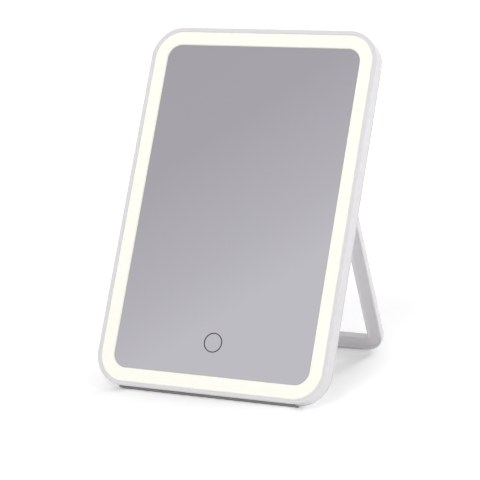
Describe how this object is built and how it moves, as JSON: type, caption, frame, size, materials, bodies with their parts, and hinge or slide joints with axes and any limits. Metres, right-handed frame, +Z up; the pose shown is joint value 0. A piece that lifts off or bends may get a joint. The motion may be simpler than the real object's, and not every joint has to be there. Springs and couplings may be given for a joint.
{
  "type": "lighted makeup mirror",
  "caption": "Slim rectangular tabletop mirror with a lit band round the glass, a touch ring, and a U-shaped stand that folds into the back.",
  "frame": {"origin": "middle of the footprint on the table, with the stand open", "axes": "+Z up, -Y towards the user, +X to the user's right"},
  "size_m": [0.19, 0.1708, 0.2591],
  "materials": {
    "housing_white": "fine satin moulded shell",
    "stand_white": "fine satin moulding",
    "opal_acrylic": "opal, lit from behind",
    "silvered_glass": "silvered float glass",
    "grey_ink": "printed grey line",
    "foam_tape": "black foam tape",
    "tray_white": "white reflecting tray",
    "light_strip": "white flexible circuit with lights",
    "copper_foil": "bare foil",
    "conductive_foam": "dark foam",
    "circuit_board": "green solder mask",
    "plated_steel": "nickel plated",
    "black_plastic": "moulded",
    "battery_foil": "foil pouch",
    "nylon": "natural nylon",
    "grey_rubber": "anti-slip rubber",
    "pale_rubber": "soft translucent rubber",
    "lead_red": "wire insulation"
  },
  "bodies": {
    "head": {"front_frame": "housing_white", "back_cover": "housing_white", "light_band": "opal_acrylic", "mirror_glass": "silvered_glass", "touch_ring": "grey_ink", "mirror_tape": "foam_tape", "light_tray": "tray_white", "touch_electrode": "copper_foil", "touch_foam_plug": "conductive_foam", "control_board": "circuit_board", "charge_board": "circuit_board", "usb_socket": "plated_steel", "switch_body": "black_plastic", "battery_cell": "battery_foil", "battery_pad": "foam_tape", "battery_lead": "lead_red", "charge_lead": "lead_red", "light_lead": "lead_red", "base_strip": "grey_rubber", "led_strip_top": "light_strip", "led_strip_bottom": "light_strip", "led_strip_right": "light_strip", "led_strip_left": "light_strip", "control_board_screw_left": "plated_steel", "control_board_screw_right": "plated_steel", "charge_board_screw_lower": "plated_steel", "charge_board_screw_upper": "plated_steel", "cover_screw_1": "plated_steel", "cover_screw_2": "plated_steel", "cover_screw_3": "plated_steel", "cover_screw_4": "plated_steel", "cover_screw_5": "plated_steel", "cover_screw_6": "plated_steel", "hinge_pin_left": "plated_steel", "friction_washer_left_outer": "nylon", "friction_washer_left_inner": "nylon", "hinge_pin_right": "plated_steel", "friction_washer_right_outer": "nylon", "friction_washer_right_inner": "nylon"},
    "stand": {"stand_frame": "stand_white", "stand_foot_strip": "pale_rubber"},
    "power_knob": {"switch_knob": "housing_white"}
  },
  "joints": [
    {"name": "stand_hinge", "type": "hinge", "parent": "head", "child": "stand", "pos_m": [0, 0.0107, 0.17214], "axis": [1, 0, 0], "range_deg": [-49.6, 0]},
    {"name": "power_slide", "type": "slide", "parent": "head", "child": "power_knob", "axis": [0, 0.4494, 0.8933], "range_m": [-0.0025, 0]}
  ]
}
